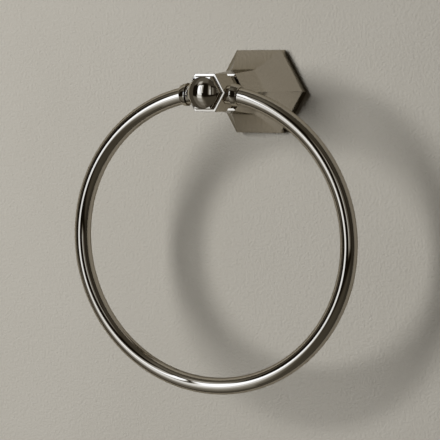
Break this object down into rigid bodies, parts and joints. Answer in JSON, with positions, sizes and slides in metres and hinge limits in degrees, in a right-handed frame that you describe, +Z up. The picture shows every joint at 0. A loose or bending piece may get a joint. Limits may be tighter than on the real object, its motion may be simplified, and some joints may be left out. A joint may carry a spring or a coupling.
{
  "type": "towel ring",
  "caption": "Towel ring: a round-bar ring that swings from a stepped hexagonal head with a domed end, on a hexagonal post that flares to a base on the wall.",
  "frame": {"origin": "centre of the base's back face, on the wall and on the post's axis", "axes": "+Y into the wall along the post's axis, so the post stands out along -Y; +Z up; +X to the right as seen from the room"},
  "size_m": [0.165, 0.0815, 0.1837],
  "materials": {
    "nickel_plated_brass": "polished",
    "stainless_steel": "satin",
    "zinc_plated_steel": "satin"
  },
  "bodies": {
    "post": {"flared_post": "nickel_plated_brass", "head": "nickel_plated_brass", "head_screw": "stainless_steel", "dome_finial": "nickel_plated_brass", "bush_left": "nickel_plated_brass", "bush_right": "nickel_plated_brass", "wall_bracket": "zinc_plated_steel", "bracket_set_screw": "stainless_steel"},
    "ring": {"ring": "nickel_plated_brass", "collar_left": "nickel_plated_brass", "collar_right": "nickel_plated_brass", "pivot_pin_left": "stainless_steel", "pivot_pin_right": "stainless_steel"}
  },
  "joints": [
    {"name": "ring_swing", "type": "hinge", "parent": "post", "child": "ring", "pos_m": [0, -0.0678, -0.00112], "axis": [-1, 0, 0], "range_deg": [-24, 204]}
  ]
}
